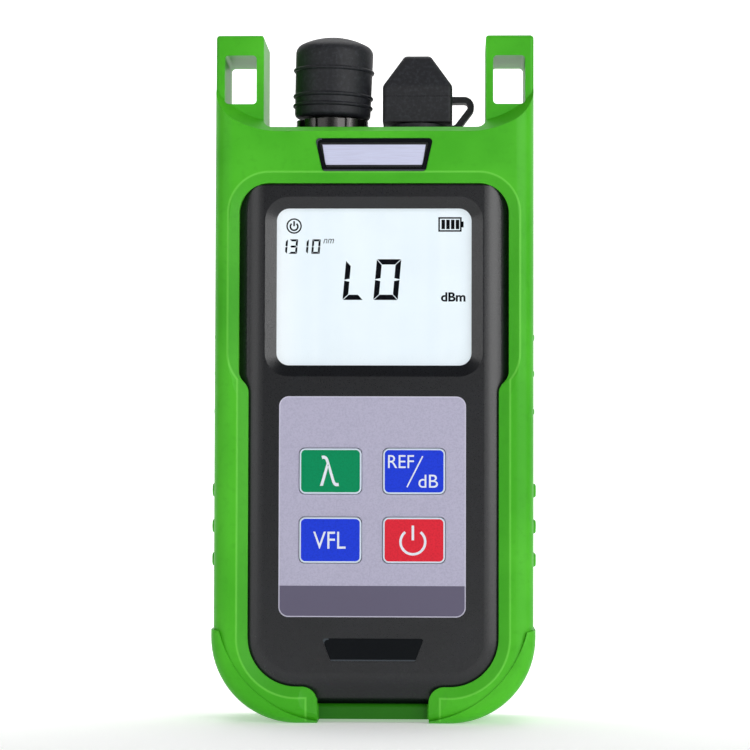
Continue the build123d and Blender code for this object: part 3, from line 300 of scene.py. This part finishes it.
def ribbon(points, width, closed=False):
    # A line of some width: every point is moved half the width to both sides, square to the path.
    points = np.asarray(points, float)
    ahead = np.roll(points, -1, 0) - points
    behind = points - np.roll(points, 1, 0)
    if not closed:
        ahead[-1], behind[0] = behind[-1], ahead[0]
    ahead /= np.linalg.norm(ahead, axis=1, keepdims=True)
    behind /= np.linalg.norm(behind, axis=1, keepdims=True)
    along = ahead + behind
    along /= np.linalg.norm(along, axis=1, keepdims=True)
    square = np.stack([-along[:, 1], along[:, 0]], 1)
    spread = width / 2 / np.clip((along * ahead).sum(1, keepdims=True), 0.4, 1)
    corners = np.concatenate([points + square * spread, points - square * spread])
    count = len(points)
    first = np.arange(count if closed else count - 1)
    second = (first + 1) % count
    faces = np.stack([first, second, second + count, first + count], 1)
    return corners, faces.tolist()


def gather(parts):  # several (corners, faces) as one
    corners, faces, start = [], [], 0
    for some, joined in parts:
        corners.append(np.asarray(some, float))
        faces += [[index + start for index in face] for face in joined]
        start += len(some)
    return np.concatenate(corners), faces


def block(x0, z0, x1, z1):  # an upright rectangle
    return np.array([(x0, z0), (x1, z0), (x1, z1), (x0, z1)], float), [[0, 1, 2, 3]]


segmentsOf = {"0": "abcdef", "1": "bc", "3": "abgcd", "L": "def", "O": "abcdef"}


def shrunk(corners, gap):
    # Every side moves inwards by the gap: corner + gap (n1 + n2) / (1 + n1 . n2) of its two sides.
    corners = np.asarray(corners, float)
    along = np.roll(corners, -1, 0) - corners
    along /= np.linalg.norm(along, axis=1, keepdims=True)
    inward = np.stack([-along[:, 1], along[:, 0]], 1)
    if ((corners.mean(0) - corners) * inward).sum() < 0:
        inward = -inward
    before = np.roll(inward, 1, 0)
    return corners + gap * (inward + before) / (1 + (inward * before).sum(1, keepdims=True))


def sevenSegment(mark, box, weight, slant, gap):
    # Bars of a digit: strips with mitred ends round the cell, and a six-cornered one in the middle.
    x0, z0, x1, z1 = box
    wide, tall = x1 - x0 - slant, z1 - z0
    centre, half = tall / 2, weight / 2
    notch = half if "g" in segmentsOf[mark] else half * 0.4
    right, head = wide - weight, tall - weight
    bars = {
        "a": [(0, tall), (wide, tall), (right, head), (weight, head)],
        "d": [(0, 0), (wide, 0), (right, weight), (weight, weight)],
        "f": [(0, tall), (weight, head), (weight, centre + notch), (0, centre)],
        "e": [(0, 0), (weight, weight), (weight, centre - notch), (0, centre)],
        "b": [(wide, tall), (right, head), (right, centre + notch), (wide, centre)],
        "c": [(wide, 0), (right, weight), (right, centre - notch), (wide, centre)],
        "g": [(half, centre), (weight, centre + half), (right, centre + half),
              (wide - half, centre), (right, centre - half), (weight, centre - half)],
    }
    parts = []
    for letter in segmentsOf[mark]:
        corners = shrunk(bars[letter], gap)
        corners[:, 0] += x0 + slant * corners[:, 1] / tall
        corners[:, 1] += z0
        parts.append((corners, [list(range(len(corners)))]))
    return gather(parts)


def ringOf(middle, radius, width, start=0.0, sweep=360.0, count=48):
    # Part of a ring: points on a circle between two angles, from the top and clockwise.
    closed = sweep >= 360.0
    turn = np.radians(start + np.linspace(0, sweep, count, endpoint=not closed))
    points = np.stack([middle[0] + radius * np.sin(turn), middle[1] + radius * np.cos(turn)], 1)
    return ribbon(points, width, closed)


def legend(name, words, box, depth, body, material, weight=0.0, shear=0.0):
    # Lettering in Blender's own plain font, stretched to its box in millimetres.
    curve = bpy.data.curves.new(name, "FONT")
    curve.body = words
    curve.offset = weight
    curve.shear = shear
    curve.resolution_u = 6
    shape = bpy.data.objects.new(name, curve)
    bpy.context.scene.collection.objects.link(shape)
    bpy.context.view_layer.update()
    mesh = bpy.data.meshes.new_from_object(shape)
    bpy.data.objects.remove(shape)
    places = np.empty(len(mesh.vertices) * 3)
    mesh.vertices.foreach_get("co", places)
    places = places.reshape(-1, 3)[:, :2]
    low, high = places.min(0), places.max(0)
    x0, z0, x1, z1 = box
    share = (places - low) / (high - low)
    corners = np.stack([x0 + share[:, 0] * (x1 - x0), z0 + share[:, 1] * (z1 - z0)], 1)
    faces = [list(face.vertices) for face in mesh.polygons]
    return flatPiece(name, corners, faces, depth, body, material)


ink = Finish("displayInk", Specular_IOR_Level=0.05)
ink.feed(
    Base_Color=ink.blend(ink.noise(2.0), linear(*screen["ink"]), linear(*screen["inkWorn"])),
    Roughness=ink.noise(3.0) * 0.1 + 0.3,
)
inkDepth = low[1] - 0.02

marks = {  # places in millimetres: lowest corner, then highest
    "wave": (("1", -24.3), ("3", -21.75), ("1", -19.0), ("0", -16.0)), "waveRow": (118.15, 121.9),
    "waveWidth": 2.5, "waveWeight": 0.58, "waveSlant": 0.3, "waveGap": 0.03,
    "level": (("L", (-8.1, 106.4, -1.8, 116.6), 0.09), ("O", (-0.3, 106.4, 6.95, 116.9), 0.08)),
    "levelWeight": 1.5, "levelSlant": 0.9,
    "waveUnit": (-12.9, 120.85, -10.2, 122.0), "levelUnit": (16.9, 106.1, 23.1, 108.45),
    "chargeCase": ((16.4, 124.0), (21.9, 124.0), (21.9, 127.3), (16.4, 127.3)), "chargeLine": 0.4,
    "chargeTip": (21.9, 124.9, 22.6, 126.4), "chargeBars": (17.0, 18.2, 19.4, 20.6),
    "chargeBarWidth": 0.9, "chargeBarRow": (124.45, 126.85),
    "standby": (-20.33, 125.24), "standbyRim": (1.78, 0.36), "standbyRing": (0.95, 0.42),
    "standbyBar": (-20.54, 125.2, -20.12, 126.5), "standbyDrop": 0.14,
}
waveLow, waveHigh = marks["waveRow"]
flatPiece(
    "waveDigits",
    *gather([
        sevenSegment(
            mark, (x, waveLow, x + marks["waveWidth"], waveHigh), marks["waveWeight"],
            marks["waveSlant"], marks["waveGap"],
        )
        for mark, x in marks["wave"]
    ]),
    inkDepth, "meter", ink.material,
)
legend("waveUnit", "nm", marks["waveUnit"], inkDepth, "meter", ink.material, 0.0, 0.3)
flatPiece(
    "levelMarks",
    *gather([
        sevenSegment(mark, box, marks["levelWeight"], marks["levelSlant"], gap)
        for mark, box, gap in marks["level"]
    ]),
    inkDepth, "meter", ink.material,
)
legend("levelUnit", "dBm", marks["levelUnit"], inkDepth, "meter", ink.material, 0.03)
barLow, barHigh = marks["chargeBarRow"]
flatPiece(
    "chargeMark",
    *gather(
        [ribbon(marks["chargeCase"], marks["chargeLine"], True), block(*marks["chargeTip"])]
        + [block(x, barLow, x + marks["chargeBarWidth"], barHigh) for x in marks["chargeBars"]]
    ),
    inkDepth, "meter", ink.material,
)
standbyX, standbyZ = marks["standby"]
flatPiece(
    "standbyMark",
    *gather([
        ringOf((standbyX, standbyZ), *marks["standbyRim"]),
        ringOf((standbyX, standbyZ - marks["standbyDrop"]), *marks["standbyRing"], 40, 280, 32),
        block(*marks["standbyBar"]),
    ]),
    inkDepth, "meter", ink.material,
)
print("display done")

# Keypad
keypad = {
    "film": (176, 173, 195), "mottled": (165, 162, 185), "rim": (204, 202, 220),
    "band": (92, 87, 109), "bandTop": 34.45,
}
low, high = nodeBox("keypad_overlay")
film = Finish("keypadFilm", Specular_IOR_Level=0.3)
fleck = film.noise(2.4, 3.0, 0.65)
tone = film.blend(fleck.fade(0.38, 0.66), linear(*keypad["film"]), linear(*keypad["mottled"]))
tone = film.blend(film.z < keypad["bandTop"], tone, linear(*keypad["band"]))
middle = ((low[0] + high[0]) / 2, (low[2] + high[2]) / 2)
half = ((high[0] - low[0]) / 2, (high[2] - low[2]) / 2)
edge = film.plate(middle, half, 2.5)
tone = film.blend((edge > -0.28) * 0.7, tone, linear(*keypad["rim"]))
film.feed(Base_Color=tone, Roughness=fleck * 0.14 + 0.36, Normal=film.dent(fleck, 0.01, 0.4))
film.wear("keypad_overlay")

keyInk = {"green": (0, 137, 87), "blue": (30, 60, 212), "red": (218, 40, 57),
          "border": (204, 216, 230), "glyph": (226, 232, 240)}
glyph = Finish("keyGlyph")
glyph.feed(
    Base_Color=glyph.blend(glyph.noise(3.0), linear(*keyInk["glyph"]), linear(212, 218, 230)),
    Roughness=glyph.noise(4.0) * 0.1 + 0.35,
)


def printedKey(name, node, colour):
    made = Finish(name, Specular_IOR_Level=0.12)
    low, high = nodeBox(node)
    middle = ((low[0] + high[0]) / 2, (low[2] + high[2]) / 2)
    edge = made.plate(middle, (7.8, 5.725), 1.5)
    fleck = made.noise(2.2, 3.0)
    shade = tuple(round(part * 0.86) for part in colour)
    tone = made.blend(fleck.fade(0.4, 0.7) * 0.5, linear(*colour), linear(*shade))
    tone = made.blend(edge > -0.42, tone, linear(*keyInk["border"]))
    made.feed(Base_Color=tone, Roughness=fleck * 0.12 + 0.32, Normal=made.dent(fleck, 0.008, 0.4))
    return made.wear(node)


printedKey("keyGreen", "wavelength_key", keyInk["green"])
printedKey("keyBlue", "reference_key", keyInk["blue"])
printedKey("keyBlueLower", "locator_key", keyInk["blue"])
printedKey("keyRed", "power_key", keyInk["red"])
signs = {  # places in millimetres: lowest corner, then highest
    "wavelength": (-13.4, 59.4, -8.6, 67.1), "reference": (3.7, 64.0, 10.2, 67.25),
    "level": (11.35, 59.1, 16.25, 62.35), "slash": ((8.45, 59.2), (12.4, 67.0)), "slashWidth": 0.34,
    "locator": (-15.05, 43.7, -6.9, 48.0), "power": (9.97, 45.5), "powerRing": (3.1, 0.62, 38, 284),
    "powerBar": (9.66, 45.9, 10.28, 49.6),
}
faceDepth = nodeBox("power_key")[0][1] - 0.02
for name, words, place, body in (
    ("waveGlyph", "λ", "wavelength", "wavelength_button"),
    ("refGlyph", "REF", "reference", "reference_button"),
    ("levelGlyph", "dB", "level", "reference_button"),
    ("locatorGlyph", "VFL", "locator", "locator_button"),
):
    legend(name, words, signs[place], faceDepth, body, glyph.material)
flatPiece(
    "slashGlyph", *ribbon(signs["slash"], signs["slashWidth"]), faceDepth, "reference_button",
    glyph.material,
)
flatPiece(
    "powerGlyph",
    *gather([ringOf(signs["power"], *signs["powerRing"], 48), block(*signs["powerBar"])]),
    faceDepth, "power_button", glyph.material,
)
print("keypad done")

# Plates
plates = {
    "black": (8, 10, 13), "speck": (14, 18, 22), "bevel": (78, 84, 90),
    "silver": (206, 210, 236), "brushed": (196, 198, 224), "margin": 0.55, "slant": 0.16,
}


def glossyPlate(name, node, specular):
    # Black gloss with a painted highlight: a pale bevel colour along the left and the foot, where
    # the light catches the edge.
    made = Finish(name, Specular_IOR_Level=specular)
    low, high = nodeBox(node)
    middle = ((low[0] + high[0]) / 2, (low[2] + high[2]) / 2)
    half = ((high[0] - low[0]) / 2, (high[2] - low[2]) / 2)
    speck = made.noise(2.0)
    leftAndFoot = (made.x < low[0] + 1.4).most(made.z < low[2] + 1.2)
    bevel = (made.plate(middle, half, 1.2) > -0.32) * leftAndFoot
    tone = made.blend(speck, linear(*plates["black"]), linear(*plates["speck"]))
    made.feed(
        Base_Color=made.blend(bevel * 0.8, tone, linear(*plates["bevel"])),
        Roughness=speck * 0.08 + 0.16,
    )
    return made.wear(node)


glossyPlate("bezelBlack", "nameplate_bezel", 0.2)
glossyPlate("plateBlack", "model_plate", 0.1)

foil = Finish("brushedFoil")
brush = foil.noise(1.6, 4.0, 0.6, (0.12, 1.0, 3.0))
low, high = nodeBox("nameplate_insert")
foilHalf = (high[0] - low[0]) / 2 - (high[2] - foil.z) * plates["slant"]  # narrower at its foot
acrossFoil = abs(foil.x - (low[0] + high[0]) / 2) - foilHalf
upFoil = abs(foil.z - (low[2] + high[2]) / 2) - (high[2] - low[2]) / 2
frameEdge = -plates["margin"]
frameShare = acrossFoil.most(upFoil).fade(frameEdge - 0.04, frameEdge + 0.04)
silver = foil.blend(brush.fade(0.3, 0.7), linear(*plates["silver"]), linear(*plates["brushed"]))
foil.feed(
    Base_Color=foil.blend(frameShare, silver, linear(*plates["black"])),
    Metallic=brush * 0.08 + 0.12,
    Roughness=brush * 0.2 + 0.28,
    Normal=foil.dent(brush, 0.006, 0.4),
)
foil.wear("nameplate_insert")
print("plates done")

# Caps
caps = {"black": (22, 23, 28), "dusty": (40, 42, 48), "gloss": 0.48}

capRubber = Finish("capRubber", Specular_IOR_Level=0.35)
dust = capRubber.noise(1.1, 4.0, 0.65)
nap = capRubber.noise(5.0, 2.0)
capRubber.feed(
    Base_Color=capRubber.blend(
        dust.fade(0.42, 0.75), linear(*caps["black"]), linear(*caps["dusty"])
    ),
    Roughness=nap * 0.14 + caps["gloss"],
    Normal=capRubber.dent(dust * 0.7 + nap * 0.3, 0.05, 0.5),
)
capRubber.wear("detector_cap", "locator_cap")
print("caps done")


# Metal and hidden pieces
def turnedMetal(name, bright, dull, roughness, metallic=1.0, nodesWorn=()):
    made = Finish(name, Metallic=metallic)
    lathe = made.noise(2.5, 3.0, 0.6, (0.2, 0.2, 4.0))
    made.feed(
        Base_Color=made.blend(lathe.fade(0.3, 0.7), linear(*bright), linear(*dull)),
        Roughness=lathe * 0.16 + roughness,
        Normal=made.dent(lathe, 0.004, 0.3),
    )
    return made.wear(*nodesWorn)


ports = {
    "nickel": (210, 208, 202), "worn": (170, 168, 162), "foot": (66, 65, 64),
    "footTop": (156.4, 154.9),  # the detector's, then the locator's
}
for name, footTop in zip(("detector", "locator"), ports["footTop"]):
    nickel = Finish(name + "Nickel", Metallic=1.0)
    lathe = nickel.noise(2.5, 3.0, 0.6, (0.2, 0.2, 4.0))
    bright = nickel.blend(lathe.fade(0.3, 0.7), linear(*ports["nickel"]), linear(*ports["worn"]))
    # Painted shade: below the foot line the nickel is painted dark, standing for the shadow under
    # the cap; above it the nickel is bright.
    overFoot = nickel.z.fade(footTop, footTop + 0.3)
    nickel.feed(
        Base_Color=nickel.blend(overFoot, linear(*ports["foot"]), bright),
        Roughness=lathe * 0.16 + 0.18,
        Normal=nickel.dent(lathe, 0.004, 0.3),
    )
    nickel.wear(name + "_port_body")
turnedMetal("nutBrass", (206, 170, 96), (170, 136, 72), 0.26, 1.0,
            ("detector_nut", "locator_nut", "laser_module"))
turnedMetal("plainSteel", (176, 178, 180), (142, 144, 148), 0.3, 1.0,
            ("board_screws", "case_screws", "contact_springs", "contact_plates", "photodiode"))


def plainMoulding(name, colour, other, roughness, nodesWorn):
    made = Finish(name)
    cloud = made.noise(0.4, 3.0)
    made.feed(
        Base_Color=made.blend(cloud.fade(0.35, 0.7), linear(*colour), linear(*other)),
        Roughness=cloud * 0.15 + roughness,
    )
    return made.wear(*nodesWorn)


plainMoulding("framePlastic", (206, 206, 200), (190, 190, 184), 0.4, ("display_frame",))
plainMoulding("siliconeMat", (206, 205, 214), (190, 189, 200), 0.45, ("key_dome_mat",))
plainMoulding("lightGuide", (232, 238, 242), (214, 222, 230), 0.3, ("backlight_panel",))
plainMoulding("boardResist", (26, 92, 52), (18, 74, 42), 0.3, ("main_board",))
plainMoulding("chipBlack", (30, 30, 32), (44, 44, 46), 0.4, ("board_components", "buzzer"))
plainMoulding(
    "cellSleeve", (46, 64, 112), (36, 52, 96), 0.3, ("battery_1", "battery_2", "battery_3")
)
print("hidden pieces done")

# Studio
studio = {
    "sweepHalfWidth": 3.0, "sweepFront": -2.4, "sweepBack": 1.1, "sweepRadius": 0.6,
    "sweepHeight": 3.0, "worldStrength": 0.13, "sweepGlow": 0.75, "glowFrom": -0.33, "glowTo": 0.4,
    "lights": (  # name, place, aim, width, height, watts
        ("leftSoftbox", (-0.55, -0.95, 0.25), (0, 0, 0.09), 0.5, 0.9, 2.2),
        ("leftStrip", (-0.95, -0.55, 0.1), (0, 0, 0.09), 0.15, 0.9, 1.6),
        ("rightSoftbox", (0.52, -0.92, 0.25), (0, 0, 0.09), 0.62, 0.9, 6.4),
        ("rightStrip", (0.95, -0.55, 0.1), (0, 0, 0.09), 0.15, 0.9, 4.0),
        ("topSoftbox", (0.0, 0.25, 1.2), (0, 0.0, 0.1), 1.0, 0.6, 6.0),
    ),
}


def sweepSheet():
    # Floor that curves up behind: a line, a quarter circle and a line, drawn out sideways.
    turn = np.linspace(0, math.pi / 2, 24)
    radius, back = studio["sweepRadius"], studio["sweepBack"]
    arc = back + radius * np.sin(turn)
    depth = np.concatenate([[studio["sweepFront"], back], arc, [back + radius]])
    height = np.concatenate([[0, 0], radius * (1 - np.cos(turn)), [studio["sweepHeight"]]])
    side = studio["sweepHalfWidth"]
    count = len(depth)
    left = np.stack([np.full(count, -side), depth, height], 1)
    places = np.concatenate([left, left * (-1, 1, 1)])
    first = np.arange(count - 1)
    faces = np.stack([first + count, first + count + 1, first + 1, first], 1)
    mesh = bpy.data.meshes.new("studioSweep")
    mesh.from_pydata(places.tolist(), [], faces.tolist())
    mesh.update()
    for face in mesh.polygons:
        face.use_smooth = True
    sheet = bpy.data.objects.new("studioSweep", mesh)
    bpy.context.scene.collection.objects.link(sheet)
    paper = Finish(
        "palePaper", Roughness=0.9, Specular_IOR_Level=0.1, Emission_Strength=studio["sweepGlow"]
    )
    depth = paper.y / 1000
    paper.feed(
        Base_Color=paper.blend(paper.noise(0.01), linear(243, 243, 243), linear(240, 240, 240)),
        Emission_Color=paper.blend(
            depth.fade(studio["glowFrom"], studio["glowTo"]), (0, 0, 0, 1), (1, 1, 1, 1)
        ),
    )
    mesh.materials.append(paper.material)


sweepSheet()
world = bpy.data.worlds.new("studioWorld")
world.use_nodes = True
world.node_tree.nodes["Background"].inputs["Color"].default_value = (1, 1, 1, 1)
world.node_tree.nodes["Background"].inputs["Strength"].default_value = studio["worldStrength"]
bpy.context.scene.world = world
for name, place, aim, width, height, watts in studio["lights"]:
    lamp = bpy.data.lights.new(name, "AREA")
    lamp.shape, lamp.size, lamp.size_y, lamp.energy = "RECTANGLE", width, height, watts
    holder = bpy.data.objects.new(name, lamp)
    holder.location = place
    holder.rotation_euler = (Vector(aim) - Vector(place)).to_track_quat("-Z", "Y").to_euler()
    bpy.context.scene.collection.objects.link(holder)
print("studio done")

# Camera
view = {
    "place": (0.0192, -0.7, 0.0601), "aim": (0, 0, 0.0875), "lensMm": 130.85, "roll": 0.15,
    "shiftX": -0.0003, "shiftY": 0.0025,
}
camera = bpy.data.cameras.new("photoCamera")
camera.lens, camera.sensor_width, camera.sensor_fit = view["lensMm"], 36.0, "HORIZONTAL"
camera.shift_x, camera.shift_y = view["shiftX"], view["shiftY"]
camera.clip_start, camera.clip_end = 0.05, 20
stand = bpy.data.objects.new("photoCamera", camera)
stand.location = view["place"]
turn = (Vector(view["aim"]) - Vector(view["place"])).to_track_quat("-Z", "Y")
stand.rotation_euler = turn.to_euler()
stand.rotation_euler.rotate_axis("Z", math.radians(view["roll"]))
bpy.context.scene.collection.objects.link(stand)
bpy.context.scene.camera = stand
bpy.context.scene.view_settings.view_transform = "Standard"
